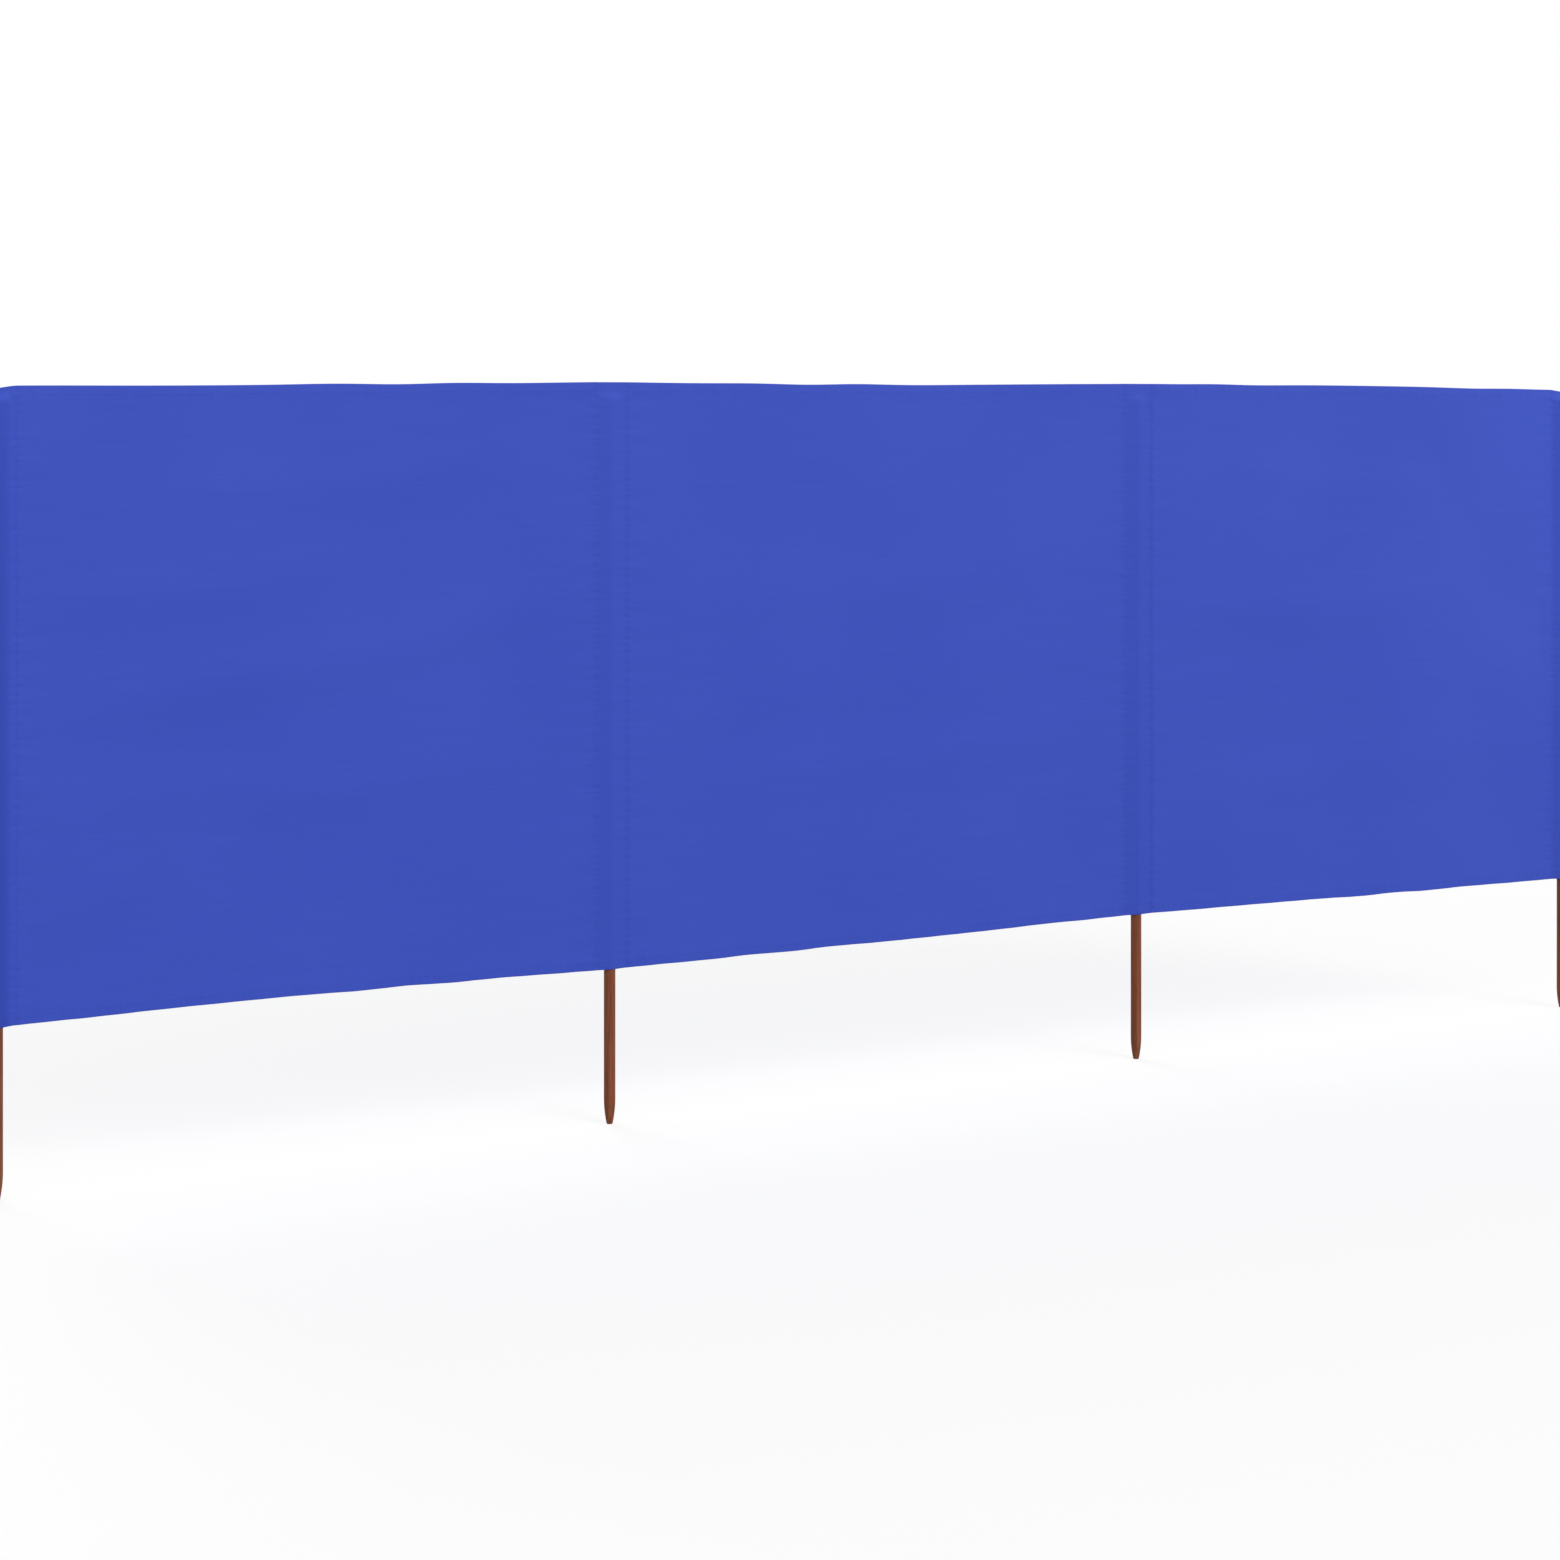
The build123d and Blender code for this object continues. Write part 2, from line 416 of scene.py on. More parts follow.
poleGrowth = turnedPole()
drawnIn = poleRadius - poleDials["footRadius"]
pointArc = (drawnIn ** 2 + poleDials["pointLength"] ** 2) / (2 * drawnIn)
poleShoulder = poleTop - poleDials["topRound"]
ringLevels = [poleDials["footEdge"] * share for share in poleDials["footRings"]]
ringLevels += [poleDials["pointLength"] * share for share in poleDials["pointRings"]]
ringLevels += list(np.linspace(poleDials["pointLength"], poleShoulder, poleDials["barRings"] + 1)[1:])
ringLevels += [poleTop - poleDials["topRound"] * share for share in poleDials["topRings"]]
for pole in range(poleCount):
    axisMesh = bpy.data.meshes.new("pole_axis")
    axisPoints = [(poleX[pole], poleY[pole], level) for level in ringLevels]
    axisMesh.from_pydata(axisPoints, [(at, at + 1) for at in range(len(axisPoints) - 1)], [])
    turned = grownPiece(f"turned_pole_{pole + 1}", axisMesh, poleGrowth, {
        "Radius": poleRadius,
        "Height": poleTop,
        "Point Length": poleDials["pointLength"],
        "Point Arc": pointArc,
        "Foot Edge": poleDials["footEdge"],
        "Top Round": poleDials["topRound"],
        "Unevenness": poleDials["unevenness"],
        "Sides": poleDials["sides"],
        "Wood": woodMaterial,
    })
    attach(turned, "root")
    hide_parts(f"pole_{pole + 1}")


# cloth: one length of stretched cloth turned back round both end poles, with a strip behind each inner pole
clothDials = {
    "thickness": 0.0005,
    "hemHeight": 0.020,
    "hemGap": 0.0008,  # between the two layers of a turned edge
    "hemFold": (0, 45, 90, 135, 180),  # degrees round the turned edge
    "hemInsets": (0.003, 0.009),  # rows of the turned layer between the edge and its sewing line
    "stitchInset": 0.017,  # sewing line of a hem, from the edge
    "stitchDip": 0.0003,  # thread draws the cloth in
    "hemDip": 0.5,  # share of that on the turned layer
    # rows of the front layer near the bottom and top edge, beside its sewing lines
    "lowInsets": (0.003, 0.008, 0.013, 0.021, 0.028),
    "highInsets": (0.044, 0.040, 0.036, 0.032, 0.028, 0.0245, 0.021, 0.012, 0.007, 0.003),
    "rowStep": 0.011,
    "columnStep": 0.0165,
    "crowding": 0.5,  # columns stand this much closer beside a seam, as a share
    # set up by hand, so the edges ride a little up or down at each pole and never run quite true
    "topAtPoles": (-0.0062, 0.0044, 0.0048, -0.0066),
    "bottomAtPoles": (-0.0013, -0.0040, 0.0050, -0.0065),
    "cornerDrop": 0.007,  # the top corner rounds off over an end pole
    "cornerReach": (0.045, -0.020),  # from here to here, as offsets from the pole's middle
    "edgeWander": 0.0010,
    "wanderLength": 0.37,
    "wanderFree": 0.8,  # an edge is held at the poles and free where it has this share of its bow
    "topWander": (0.8, 1.7, 0.37, 1.0),  # pace of the wave, how far that swings, how often and from where
    "bottomWander": (1.0, 2.1, 0.43, 0.0),
    # pockets
    "seamWidth": 0.010,
    "seamInset": 0.002,  # the two sewing lines of a pocket, from the sides of its seam
    "poleGap": 0.0012,  # from the pole to the middle of the cloth
    "frontY": -0.0004,
    "stripY": 0.0011,  # a pocket strip lies behind the hems
    "returnY": 0.0020,  # the turned back ends lie behind their own hems
    "turnSteps": 18,  # columns round an end pole
    "turnSpacing": 0.006,  # longer stretches there are cut to about this
    "overSteps": 6,  # columns from the middle of an inner pole to its side
    "slopeSteps": 3,  # and from there to the seam
    "earOut": 0.016,  # how far the flat closed top reaches past an end pole's middle
    "earTurn": (0.42, 0.16),  # where the flat top passes from back to front, and over what share of its way
    # how much painted shade deepens the blue beside the poles
    "endShade": (0.9, 0.0),  # at the left and right end
    "innerShade": (0.10, 0.20),  # at the left and right inner pole
    "shadeFrom": 0.008,  # fades out from here, as an offset from the pole's middle
    "shadeReach": 0.027,
    "shadeFall": (1.3, 0.7),  # at the bottom and top edge, as shares
    "shadeTop": 0.65,  # share lost where the top is sewn flat
    "shadeTopFrom": 0.93,
    "shadeTopReach": 0.05,
    # soft shapes
    "pullReach": 0.012,  # how far puckers reach from a sewing line
    "seamRipple": {"length": 0.058, "reach": 0.035, "depth": 0.0011,
                   "swing": 1.7, "pace": 9, "bayLead": 2, "sideLead": 3},
    "hemRipple": {"length": 0.085, "reach": 0.030, "depth": 0.0008,
                  "swing": 1.9, "pace": 7, "bayLead": 1, "sideLead": 2},
    "bellyEdge": 0.55,  # share of a bay's belly that is left at its top and bottom
    "foldWaver": 0.25,  # no fold runs quite straight, as a share of its width
    "foldWaves": 1.3,
    "foldLead": 40,
    "foldFade": 0.3,  # share of its length over which a fold runs out at each end
    "seamHold": 0.03,  # the cloth lies flat at a seam and is free this far from it
    # each bay: how its edges bow, how far it bellies to the back, and its folds as ridges, each from one
    # share of the length and height to another, with a width and a depth to the back
    "bays": (
        {"topSag": 0.0010, "bottomRise": 0.0045, "belly": 0.006, "folds": (
            (0.15, 0.80, 0.92, 0.88, 0.050, -0.0026),
            (-0.05, 0.63, 0.60, 0.71, 0.045, -0.0020),
            (-0.05, 0.44, 1.05, 0.66, 0.060, -0.0032),
            (-0.05, 0.33, 0.95, 0.36, 0.055, -0.0024),
            (-0.05, 0.02, 0.30, 0.22, 0.070, 0.0030))},
        {"topSag": 0.0035, "bottomRise": -0.001, "belly": -0.004, "folds": (
            (-0.02, 0.60, 1.05, 0.70, 0.070, -0.0024),
            (0.05, 0.28, 1.05, 0.38, 0.060, -0.0026),
            (0.25, 0.92, 0.85, 0.80, 0.060, 0.0014))},
        {"topSag": -0.002, "bottomRise": -0.002, "belly": 0.005, "folds": (
            (0.05, 0.84, 0.75, 0.80, 0.050, -0.0020),
            (-0.05, 0.55, 0.85, 0.60, 0.060, -0.0026),
            (0.05, 0.20, 1.00, 0.30, 0.065, -0.0020),
            (0.55, 1.02, 1.08, 0.35, 0.085, 0.0034))},
    ),
}
clothRadius = poleRadius + clothDials["poleGap"]
seamStart = seamEnd - clothDials["seamWidth"]
sewnLevel = clothHigh - clothDials["hemHeight"]
stitchSteps = (seamStart + clothDials["seamInset"], seamEnd - clothDials["seamInset"])
seamSteps = [stitchSteps[0], (seamStart + seamEnd) / 2, stitchSteps[1], seamEnd]


# cloth drawn tight over a round pole, seen from above: side is -1 in front of the pole and 1 behind it
def tangentAngle(side, centreY, seamY):
    away = math.hypot(seamStart, seamY - centreY)
    return math.atan2(seamY - centreY, seamStart) + side * math.acos(clothRadius / away)


def drawnOver(offset, side, centreY, seamY):
    angle = tangentAngle(side, centreY, seamY)
    touchX = clothRadius * math.cos(angle)
    touchY = centreY + clothRadius * math.sin(angle)
    offset = abs(offset)
    if offset >= seamStart:
        return seamY
    if offset <= touchX:
        return centreY + side * math.sqrt(clothRadius ** 2 - offset ** 2)
    return touchY + (seamY - touchY) * (offset - touchX) / (seamStart - touchX)


# a column is a place across the cloth: where it lies round the open pocket, where the pocket is sewn flat,
# its bottom and top edge, how much painted shade it gets, and what the sewing does to it there
def pocketColumn(pole, openPlace, flatPlace, paintedShade, corner=0.0, sewn=False):
    low = clothLow + clothDials["bottomAtPoles"][pole]
    high = clothHigh + clothDials["topAtPoles"][pole] - clothDials["cornerDrop"] * corner
    return {"open": openPlace, "flat": flatPlace, "low": low, "high": high,
            "paintedShade": paintedShade, "sewn": sewn, "bay": None, "share": 0.0}


# from the seam of the turned back end, round the pole, to the seam in front
def endColumns(pole, inward):
    centre = poleX[pole]
    frontY = clothDials["frontY"]
    returnY = clothDials["returnY"]
    frontAngle = tangentAngle(-1, poleY[pole], frontY)
    backAngle = tangentAngle(1, poleY[pole], returnY)
    steps = clothDials["turnSteps"]
    turn = [backAngle + (fullTurn + frontAngle - backAngle) * step / steps for step in range(steps + 1)]
    loop = [(seamStart, returnY)]
    loop += [(clothRadius * math.cos(angle), poleY[pole] + clothRadius * math.sin(angle)) for angle in turn]
    loop.append((seamStart, frontY))
    fine = [loop[0]]
    for first, second in zip(loop, loop[1:]):
        pieces = max(1, round(math.dist(first, second) / clothDials["turnSpacing"]))
        for piece in range(1, pieces + 1):
            fine.append(tuple(a + (b - a) * piece / pieces for a, b in zip(first, second)))
    lengths = runLengths(fine)

    # painted shade round an end pole, full near its middle and fading out towards the seam
    def shade(offset):
        away = (offset - clothDials["shadeFrom"]) / clothDials["shadeReach"]
        return clothDials["endShade"][pole > 0] * float(1 - smoothStep(away))

    def corner(offset):
        start, end = clothDials["cornerReach"]
        return float(smoothStep((start - offset) / (start - end)))

    def seamColumn(step, depth):
        spot = (centre + inward * step, depth)
        return pocketColumn(pole, spot, spot, shade(step), corner(step), step in stitchSteps)

    columns = [seamColumn(step, returnY) for step in reversed(seamSteps)]
    turnFrom, turnOver = clothDials["earTurn"]
    for (offset, depth), along in zip(fine, lengths / lengths[-1]):
        flatOffset = seamStart - (seamStart + clothDials["earOut"]) * (1 - abs(1 - 2 * along))
        flatDepth = returnY + (frontY - returnY) * float(smoothStep((along - turnFrom) / turnOver))
        openPlace = (centre + inward * offset, depth)
        flatPlace = (centre + inward * flatOffset, flatDepth)
        columns.append(pocketColumn(pole, openPlace, flatPlace, shade(offset), corner(flatOffset)))
    return columns + [seamColumn(step, frontY) for step in seamSteps]


# from seam to seam over one side of an inner pole
def innerColumns(pole, side, seamY):
    overSteps = clothDials["overSteps"]
    slopeSteps = clothDials["slopeSteps"]
    slope = seamStart - clothRadius
    half = [clothRadius * step / overSteps for step in range(overSteps + 1)]
    half += [clothRadius + slope * step / slopeSteps for step in range(1, slopeSteps + 1)]
    half += seamSteps
    # painted shade, even across an inner pole's pocket
    shade = clothDials["innerShade"][pole - 1]
    columns = []
    for offset in [-offset for offset in reversed(half[1:])] + half:
        across = poleX[pole] + offset
        openPlace = (across, drawnOver(offset, side, poleY[pole], seamY))
        flatPlace = (across, seamY)
        columns.append(pocketColumn(pole, openPlace, flatPlace, shade, sewn=abs(offset) in stitchSteps))
    return columns


# a wave that runs faster and slower as it goes
def unsteadyWave(wave, pace, swing, swingPace, lead):
    return math.sin(pace * wave + swing * math.sin(swingPace * wave + lead))


# between two seams
def bayColumns(bay):
    dials = clothDials["bays"][bay]
    left = poleX[bay] + seamEnd
    right = poleX[bay + 1] - seamEnd
    count = round((right - left) / clothDials["columnStep"])
    columns = []
    for step in range(1, count):
        even = step / count
        share = even - clothDials["crowding"] * math.sin(fullTurn * even) / fullTurn
        bow = 4 * share * (1 - share)
        spot = (left + (right - left) * share, clothDials["frontY"])
        wave = fullTurn * spot[0] / clothDials["wanderLength"]
        wander = clothDials["edgeWander"] * float(smoothStep(bow / clothDials["wanderFree"]))
        low = clothLow + np.interp(share, (0, 1), clothDials["bottomAtPoles"][bay:bay + 2])
        low += dials["bottomRise"] * bow + wander * unsteadyWave(wave, *clothDials["bottomWander"])
        high = clothHigh + np.interp(share, (0, 1), clothDials["topAtPoles"][bay:bay + 2])
        high += wander * unsteadyWave(wave, *clothDials["topWander"]) - dials["topSag"] * bow
        columns.append({"open": spot, "flat": spot, "low": low, "high": high,
                        "paintedShade": 0.0, "sewn": False, "bay": bay, "share": share})
    return columns


# a row is a height on the cloth: share of the height, metres above that, metres behind the front layer,
# and whether a sewing line runs along it
def hemRows(share, up):
    gap = clothDials["hemGap"]
    stitch = clothDials["stitchInset"]
    rows = []
    for angle in np.radians(clothDials["hemFold"]):
        rows.append((share, up * gap / 2 * (math.sin(angle) - 1), gap / 2 * (1 - math.cos(angle)), False))
    for inset in (*clothDials["hemInsets"], stitch, clothDials["hemHeight"]):
        rows.append((share, -up * inset, gap, inset == stitch))
    return rows


def sheetRows():
    stitch = clothDials["stitchInset"]
    lowInsets = sorted((*clothDials["lowInsets"], stitch))
    highInsets = sorted((*clothDials["highInsets"], stitch), reverse=True)
    between = clothHeight - lowInsets[-1] - highInsets[0]
    count = round(between / clothDials["rowStep"])
    middle = [step / count for step in range(1, count)]
    rows = list(reversed(hemRows(0, -1)))
    rows += [(0, inset, 0, inset == stitch) for inset in lowInsets]
    rows += [(share, lowInsets[-1] * (1 - share) - highInsets[0] * share, 0, False) for share in middle]
    rows += [(1, -inset, 0, inset == stitch) for inset in highInsets]
    return rows + hemRows(1, 1)


# how far a bay's cloth lies back from its plane, from its belly, its folds and the ripples along its edges
def foldDepth(bay, share, height):
    dials = clothDials["bays"][bay]
    length = poleX[bay + 1] - poleX[bay] - 2 * seamEnd
    along = share * length
    up = height * clothHeight
    edge = clothDials["bellyEdge"]
    depth = dials["belly"] * np.sin(math.pi * share) * (edge + (1 - edge) * np.sin(math.pi * height))
    for fromShare, fromHeight, toShare, toHeight, width, crest in dials["folds"]:
        startX, startZ = fromShare * length, fromHeight * clothHeight
        runX, runZ = toShare * length - startX, toHeight * clothHeight - startZ
        reach = math.hypot(runX, runZ)
        travel = ((along - startX) * runX + (up - startZ) * runZ) / reach ** 2
        across = ((along - startX) * runZ - (up - startZ) * runX) / reach
        phase = fullTurn * travel * clothDials["foldWaves"] + clothDials["foldLead"] * crest
        waver = clothDials["foldWaver"] * width * np.sin(phase)
        fadeIn = smoothStep(travel / clothDials["foldFade"])
        fadeOut = smoothStep((1 - travel) / clothDials["foldFade"])
        depth += crest * np.exp(-((across + waver) / width) ** 2) * fadeIn * fadeOut
    toSeam = np.minimum(along, length - along)
    toHem = np.minimum(up, clothHeight - up)
    for ripple, distance, away, farSide in ((clothDials["seamRipple"], up, toSeam, share > 0.5),
                                            (clothDials["hemRipple"], along, toHem, height > 0.5)):
        swing = ripple["swing"] * np.sin(ripple["pace"] * distance + ripple["bayLead"] * bay)
        phase = fullTurn * distance / ripple["length"] + swing + ripple["sideLead"] * farSide
        depth += ripple["depth"] * np.sin(phase) * np.exp(-away / ripple["reach"])
    return depth * smoothStep(toSeam / clothDials["seamHold"])


# which columns lie in each bay
def bayPlaces(columns):
    return [[at for at, column in enumerate(columns) if column["bay"] == bay] for bay in range(bayCount)]


# the cloth's middle surface as rows of points, and the direction into its back at each point
def layCloth(columns, rows):
    openPlan = np.array([column["open"] for column in columns])
    flatPlan = np.array([column["flat"] for column in columns])
    low = np.array([column["low"] for column in columns])
    high = np.array([column["high"] for column in columns])
    shares = np.array([column["share"] for column in columns])
    seamDip = np.array([clothDials["stitchDip"] * column["sewn"] for column in columns])
    inBay = bayPlaces(columns)
    closed = np.maximum(sewnLevel, high - clothDials["stitchInset"])  # pockets are sewn shut from here up
    points = np.zeros((len(rows), len(columns), 3))
    inward = np.zeros((len(rows), len(columns), 3))
    for number, (share, rise, behind, sewn) in enumerate(rows):
        z = low + (high - low) * share + rise
        opened = smoothStep((closed - z) / (closed - poleShoulder))[:, None]
        plan = flatPlan + (openPlan - flatPlan) * opened
        heading = np.gradient(plan, axis=0)
        heading /= np.linalg.norm(heading, axis=1)[:, None]
        inward[number, :, 0] = -heading[:, 1]
        inward[number, :, 1] = heading[:, 0]
        for bay, there in enumerate(inBay):
            plan[there, 1] += foldDepth(bay, shares[there], (z[there] - clothLow) / clothHeight)
        rowDip = clothDials["stitchDip"] * sewn * (1 if behind == 0 else -clothDials["hemDip"])
        points[number] = np.column_stack([plan, z])
        points[number] += inward[number] * (behind + rowDip + seamDip * (behind == 0))[:, None]
    return points, inward


# how strongly sewing lines at these places draw up the cloth at each place
def sewingPull(places, lines):
    away = np.abs(places[:, None] - np.array(lines)[None, :]).min(1)
    return np.exp(-away / clothDials["pullReach"])


def clothPiece(name, columns, rows, points):
    rowCount, columnCount = points.shape[:2]
    mesh = bpy.data.meshes.new(name)
    corners = np.arange(rowCount * columnCount).reshape(rowCount, columnCount)[:-1, :-1]
    faces = [(at, at + 1, at + 1 + columnCount, at + columnCount) for at in corners.ravel().tolist()]
    mesh.from_pydata(points.reshape(-1, 3).tolist(), [], faces)
    mesh.polygons.foreach_set("use_smooth", np.ones(len(faces), bool))

    # the cloth laid flat, in metres, as the weave's UV map
    acrossCloth = runLengths(points[rowCount // 2])
    upCloth = runLengths(points[:, columnCount // 2])
    vertexIndex = np.zeros(len(mesh.loops), int)
    mesh.loops.foreach_get("vertex_index", vertexIndex)
    metres = np.stack([acrossCloth[vertexIndex % columnCount], upCloth[vertexIndex // columnCount]], 1)
    mesh.uv_layers.new(name="clothMetres").uv.foreach_set("vector", metres.astype(np.float32).ravel())

    # painted shade: deeper towards the bottom edge and paler where the top is sewn flat
    level = upCloth / upCloth[-1]
    bottomShade, topShade = clothDials["shadeFall"]
    sewnTop = smoothStep((level - clothDials["shadeTopFrom"]) / clothDials["shadeTopReach"])
    fading = (bottomShade - (bottomShade - topShade) * level) * (1 - clothDials["shadeTop"] * sewnTop)
    paintedShade = fading[:, None] * np.array([column["paintedShade"] for column in columns])[None, :]
    sewnUp = [up for up, row in zip(upCloth, rows) if row[3]]
    sewnAcross = [across for across, column in zip(acrossCloth, columns) if column["sewn"]]
    hemPull = sewingPull(upCloth, sewnUp)
    seamPull = sewingPull(acrossCloth, sewnAcross)
    looks = {
        "paintedShade": np.minimum(paintedShade, 1),
        "hemPull": np.repeat(hemPull[:, None], columnCount, 1),
        "seamPull": np.repeat(seamPull[None, :], rowCount, 0),
    }
    for attribute, values in looks.items():
        layer = mesh.attributes.new(attribute, "FLOAT", "POINT")
        layer.data.foreach_set("value", values.astype(np.float32).ravel())
    mesh.materials.append(clothMaterial)
    piece = addObject(name, mesh)
    solid = piece.modifiers.new("thickness", "SOLIDIFY")
    solid.thickness = clothDials["thickness"]
    solid.offset = 0
    cut = (float(acrossCloth[-1]), float(upCloth[-1]))
    print(name, "laid with", len(faces), "faces, cut", round(cut[0], 3), "by", round(cut[1], 3), "m")
    return piece, cut


clothColumns = endColumns(0, 1)
for bay in range(bayCount):
    clothColumns += bayColumns(bay)
    if bay < bayCount - 1:
        clothColumns += innerColumns(bay + 1, -1, clothDials["frontY"])
clothColumns += list(reversed(endColumns(poleCount - 1, -1)))
clothRows = sheetRows()
clothPoints, clothInward = layCloth(clothColumns, clothRows)
sheet, sheetCut = clothPiece("windbreak_sheet", clothColumns, clothRows, clothPoints)
clothNodes = [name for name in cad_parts
              if name.startswith(("panel", "top_hem", "bottom_hem", "pocket"))]
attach(sheet, "root")
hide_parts(*clothNodes)

stripRows = clothRows[:-len(hemRows(1, 1))]  # a strip ends flat under the top edge
stripLays = []
for pole in range(1, poleCount - 1):
    stripColumns = list(reversed(innerColumns(pole, 1, clothDials["stripY"])))
    stripPoints, stripInward = layCloth(stripColumns, stripRows)
    strip, stripCut = clothPiece(f"pocket_strip_{pole + 1}", stripColumns, stripRows, stripPoints)
    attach(strip, "root")
    stripLays.append((stripColumns, stripRows, stripPoints, stripInward))
print("cloth laid")


# stitches: plain lockstitch in thread that matches the cloth, along the hems and down both sides of each
# pocket, as small beads of thread with few faces
stitchDials = {
    "spacing": 0.005,
    "length": 0.0038,
    "shortest": 0.86,  # some stitches are pulled tighter, as a share of the length
    "width": 0.0010,
    "stand": 0.0003,  # thread's middle, out from the middle of the cloth
    "sides": 6,
    "rings": 3,
    "seed": 4,
}


def sewnStitches():
    tree, given = newTree("sewn_stitches", [
        ("Lines", "Geometry"), ("Spacing", "Float"), ("Length", "Float"), ("Shortest", "Float"),
        ("Width", "Float"), ("Sides", "Int"), ("Rings", "Int"), ("Seed", "Int"), ("Thread", "Material")])
    line = addNode(tree, "GeometryNodeMeshToCurve", {"Mesh": given["Lines"]})
    steps = addNode(tree, "GeometryNodeResampleCurve", {
        "Curve": line.outputs[0], "Length": given["Spacing"]}, mode="LENGTH")
    stitch = addNode(tree, "GeometryNodeMeshUVSphere", {
        "Segments": given["Sides"], "Rings": given["Rings"], "Radius": 0.5})
    run = addNode(tree, "GeometryNodeInputTangent")
    turn = addNode(tree, "FunctionNodeAlignRotationToVector", {"Vector": run.outputs[0]}, axis="Z")
    pull = addNode(tree, "FunctionNodeRandomValue", {
        2: given["Shortest"], 3: 1.0, "Seed": given["Seed"]}, data_type="FLOAT")
    length = addNode(tree, "ShaderNodeMath", {0: given["Length"], 1: pull.outputs[1]}, operation="MULTIPLY")
    size = addNode(tree, "ShaderNodeCombineXYZ", {
        0: given["Width"], 1: given["Width"], 2: length.outputs[0]})
    sewn = addNode(tree, "GeometryNodeInstanceOnPoints", {
        "Points": steps.outputs[0], "Instance": stitch.outputs[0],
        "Rotation": turn.outputs[0], "Scale": size.outputs[0]})
    single = addNode(tree, "GeometryNodeRealizeInstances", {"Geometry": sewn.outputs[0]})
    shaded = addNode(tree, "GeometryNodeSetShadeSmooth", {
        "Geometry": single.outputs[0], "Shade Smooth": True})
    finished = addNode(tree, "GeometryNodeSetMaterial", {
        "Geometry": shaded.outputs[0], "Material": given["Thread"]})
    addNode(tree, "NodeGroupOutput", {0: finished.outputs[0]})
    return tree


# lines on the outer face: whole sewing lines of the edges, and the seams of the pockets
def faceLines(columns, rows, points, inward):
    raised = points - inward * stitchDials["stand"]
    lines = [raised[number] for number, row in enumerate(rows) if row[3] and row[2] == 0]
    # a seam keeps half a stitch or more from the edges
    seamRows = [number for number, (share, rise, behind, sewn) in enumerate(rows)
                if behind == 0 and abs(rise) > stitchDials["length"] / 2]
    return lines + [raised[seamRows, at] for at, column in enumerate(columns) if column["sewn"]]


# lines on the turned edges behind the cloth, one for each bay
def hemLines(columns, rows, points, inward):
    raised = points + inward * stitchDials["stand"]
    sewnRows = [number for number, (share, rise, behind, sewn) in enumerate(rows) if sewn and behind > 0]
    return [raised[number, there] for number in sewnRows for there in bayPlaces(columns)]


def stitchPiece(name, lines):
    mesh = bpy.data.meshes.new("sewing_lines")
    points = []
    edges = []
    for line in lines:
        edges += [(at, at + 1) for at in range(len(points), len(points) + len(line) - 1)]
        points += line.tolist()
    mesh.from_pydata(points, edges, [])
    piece = grownPiece(name, mesh, stitchGrowth, {
        "Spacing": stitchDials["spacing"],
        "Length": stitchDials["length"],
        "Shortest": stitchDials["shortest"],
        "Width": stitchDials["width"],
        "Sides": stitchDials["sides"],
        "Rings": stitchDials["rings"],
        "Seed": stitchDials["seed"],
        "Thread": threadMaterial,
    })
    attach(piece, "root")
    print(name, "sewn along", len(lines), "lines with", len(piece.data.polygons), "faces")


stitchGrowth = sewnStitches()
stitchPiece("sheet_stitches", faceLines(clothColumns, clothRows, clothPoints, clothInward))
backLines = hemLines(clothColumns, clothRows, clothPoints, clothInward)
for stripLay in stripLays:
    backLines += faceLines(*stripLay)
stitchPiece("back_stitches", backLines)


# floor and light: a white sweep under even sky light, with a soft key from the front right, a long lamp
# over the front of the row, a large one behind, and a small weak one close to the upper right corner
stageDials = {
    "floorSize": 60.0,
    "floorSeen": "#F6F6F5",
    "floorBounce": "#A2A2A2",  # what the cloth gets back from the floor
    "floorWhite": 0.75,  # share of plain white in the floor as it is seen, the rest takes the shadow
    "floorFade": (4.0, 9.0),  # it turns plain white between these distances from the middle of the row
    "skyStrength": 0.56,
    "key": {"place": (7.0, -12.0, 8.8), "aim": (2.2, 0.0, 1.0), "angle": 30.0, "power": 1.31},
    "lamps": {
        "front": {"place": (0.8, -3.0, 3.6), "aim": (0.8, 0.0, 1.0), "size": (10.0, 1.2), "power": 51.0},
        "back": {"place": (0.0, 15.0, 9.0), "aim": (2.2, 0.0, 1.0), "size": (9.0, 9.0), "power": 1350.0},
        "corner": {"place": (4.6, -0.9, 1.5), "aim": (2.2, 0.0, 1.0), "size": (0.8, 0.8), "power": 2.0},
    },
}


# 1 for rays that show a surface to the eye, straight or by a reflection or through glass, 0 for light
def seenRay(tree):
    path = addNode(tree, "ShaderNodeLightPath").outputs
    direct = addNode(tree, "ShaderNodeMath", {
        0: path["Is Camera Ray"], 1: path["Is Glossy Ray"]}, operation="MAXIMUM")
    seen = addNode(tree, "ShaderNodeMath", {
        0: direct.outputs[0], 1: path["Is Transmission Ray"]}, operation="MAXIMUM")
    return seen.outputs[0]


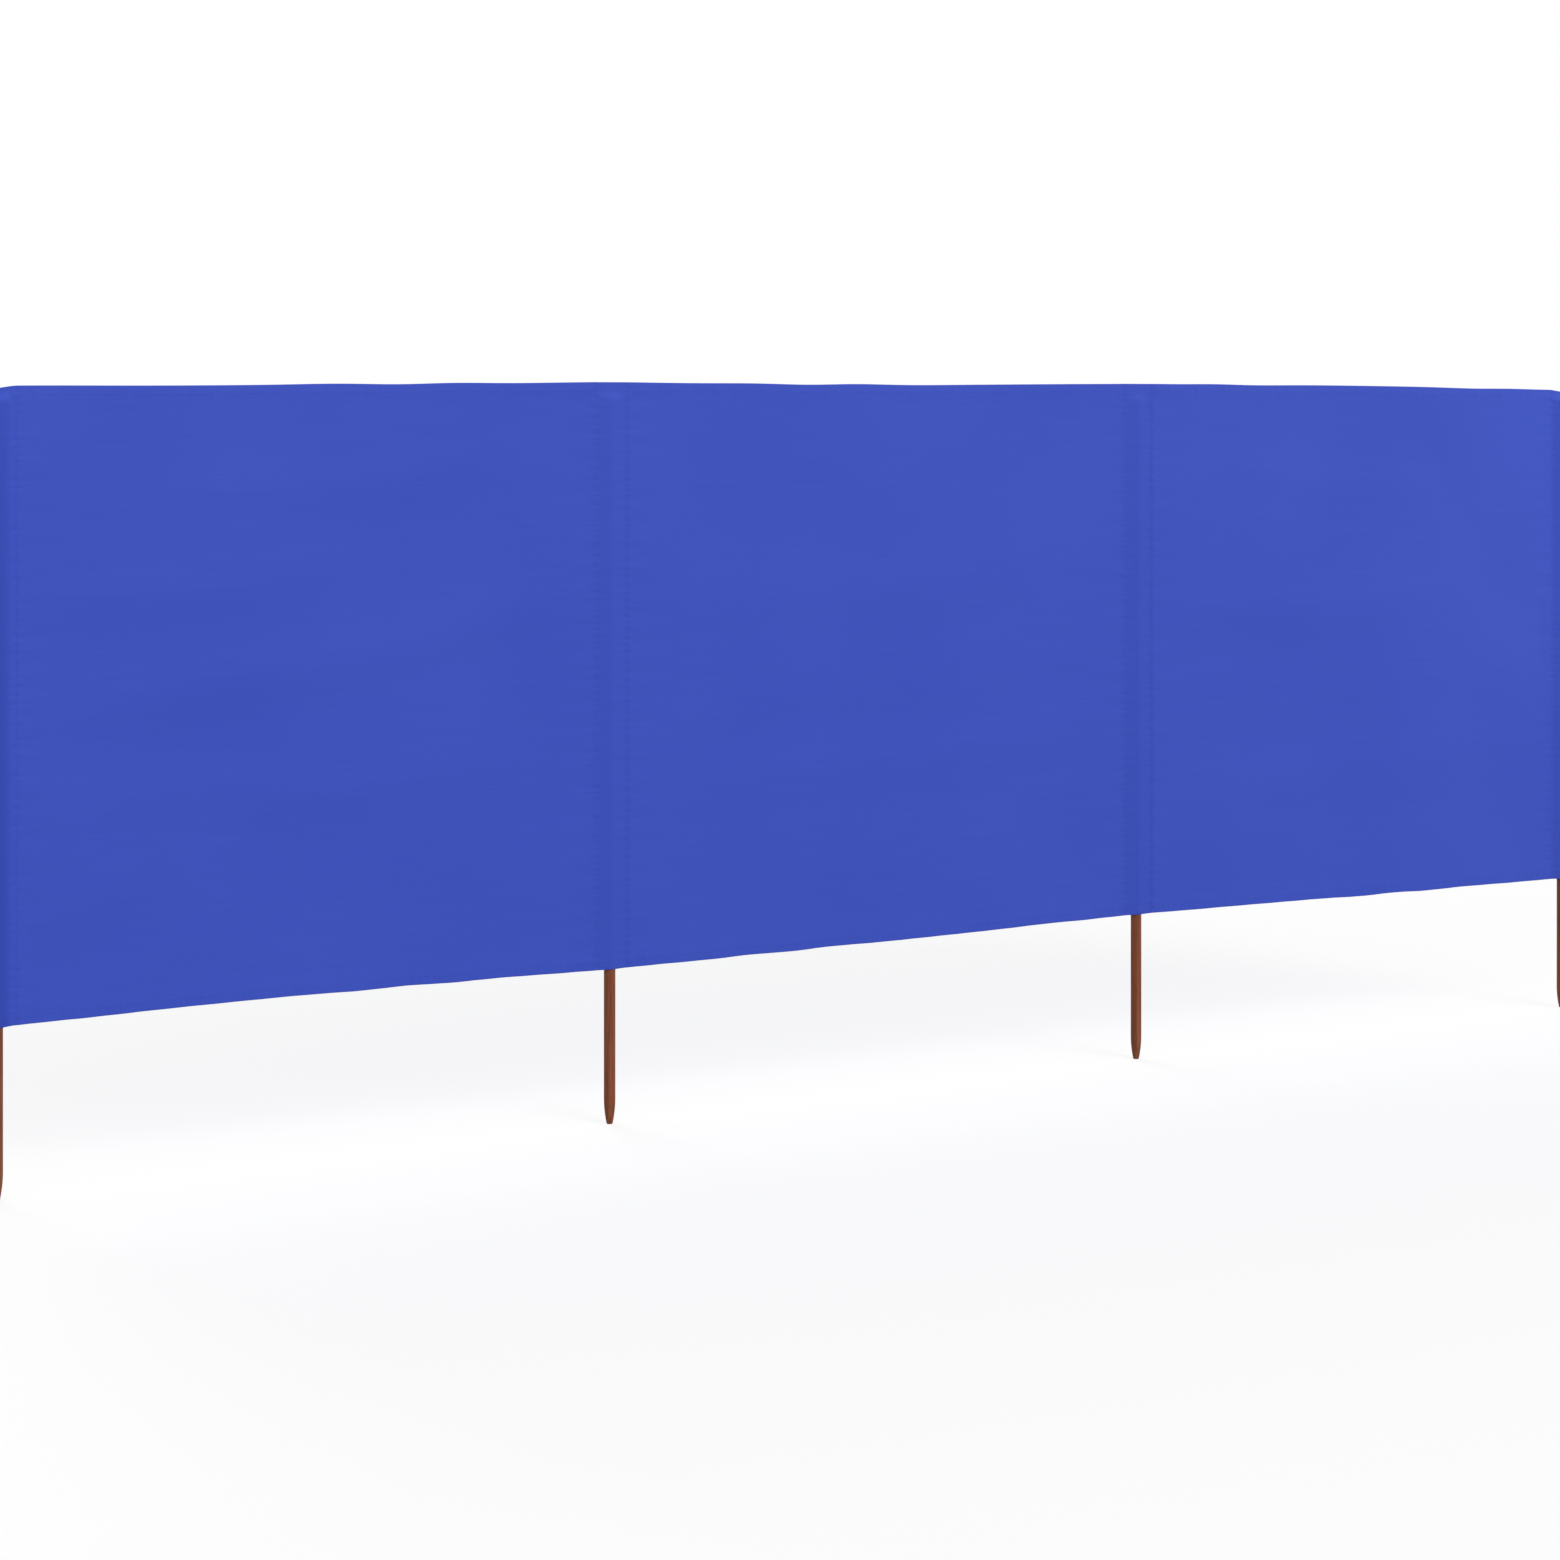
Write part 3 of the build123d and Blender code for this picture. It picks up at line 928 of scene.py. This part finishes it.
half = stageDials["floorSize"] / 2
floorCorners = [(-half, -half, 0), (half, -half, 0), (half, half, 0), (-half, half, 0)]
floorMesh = bpy.data.meshes.new("floor")
floorMesh.from_pydata(floorCorners, [], [(0, 1, 2, 3)])
floor = addObject("floor", floorMesh)
floorMaterial, floorTree = newMaterial("white_paper_sweep")
floorPlace = addNode(floorTree, "ShaderNodeTexCoord").outputs["Object"]
floorAway = addNode(floorTree, "ShaderNodeVectorMath", {
    0: floorPlace, 1: (poleX[-1] / 2, 0.0, 0.0)}, operation="DISTANCE")
fadeFrom, fadeTo = stageDials["floorFade"]
floorShare = addNode(floorTree, "ShaderNodeMapRange", {
    "Value": floorAway.outputs["Value"], "From Min": fadeFrom, "From Max": fadeTo,
    "To Min": stageDials["floorWhite"], "To Max": 1.0}, interpolation_type="SMOOTHSTEP")
floorSeen = addNode(floorTree, "ShaderNodeBsdfDiffuse", {"Color": linearColour(stageDials["floorSeen"])})
floorWhite = addNode(floorTree, "ShaderNodeEmission", {"Color": white, "Strength": 1.0})
floorPale = addNode(floorTree, "ShaderNodeMixShader", {
    0: floorShare.outputs[0], 1: floorSeen.outputs[0], 2: floorWhite.outputs[0]})
floorBounce = addNode(floorTree, "ShaderNodeBsdfDiffuse", {
    "Color": linearColour(stageDials["floorBounce"])})
floorMix = addNode(floorTree, "ShaderNodeMixShader", {
    0: seenRay(floorTree), 1: floorBounce.outputs[0], 2: floorPale.outputs[0]})
addNode(floorTree, "ShaderNodeOutputMaterial", {"Surface": floorMix.outputs[0]})
floorMesh.materials.append(floorMaterial)

world = bpy.data.worlds.new("white_studio")
world.use_nodes = True
skyTree = world.node_tree
skyTree.nodes.clear()
skyLight = addNode(skyTree, "ShaderNodeBackground", {
    "Color": white, "Strength": stageDials["skyStrength"]})
skyWhite = addNode(skyTree, "ShaderNodeBackground", {"Color": white, "Strength": 1.0})
skyMix = addNode(skyTree, "ShaderNodeMixShader", {
    0: seenRay(skyTree), 1: skyLight.outputs[0], 2: skyWhite.outputs[0]})
addNode(skyTree, "ShaderNodeOutputWorld", {"Surface": skyMix.outputs[0]})
bpy.context.scene.world = world


def addLamp(name, kind, dials):
    light = bpy.data.lights.new(name, kind)
    light.energy = dials["power"]
    lamp = addObject(name, light)
    lamp.location = dials["place"]
    lamp.rotation_euler = (Vector(dials["aim"]) - lamp.location).to_track_quat("-Z", "Y").to_euler()
    lamp.visible_camera = False
    return light


addLamp("key", "SUN", stageDials["key"]).angle = math.radians(stageDials["key"]["angle"])
for lampName, lampDials in stageDials["lamps"].items():
    light = addLamp(lampName, "AREA", lampDials)
    light.shape = "RECTANGLE"
    light.size, light.size_y = lampDials["size"]
print("stage lit")
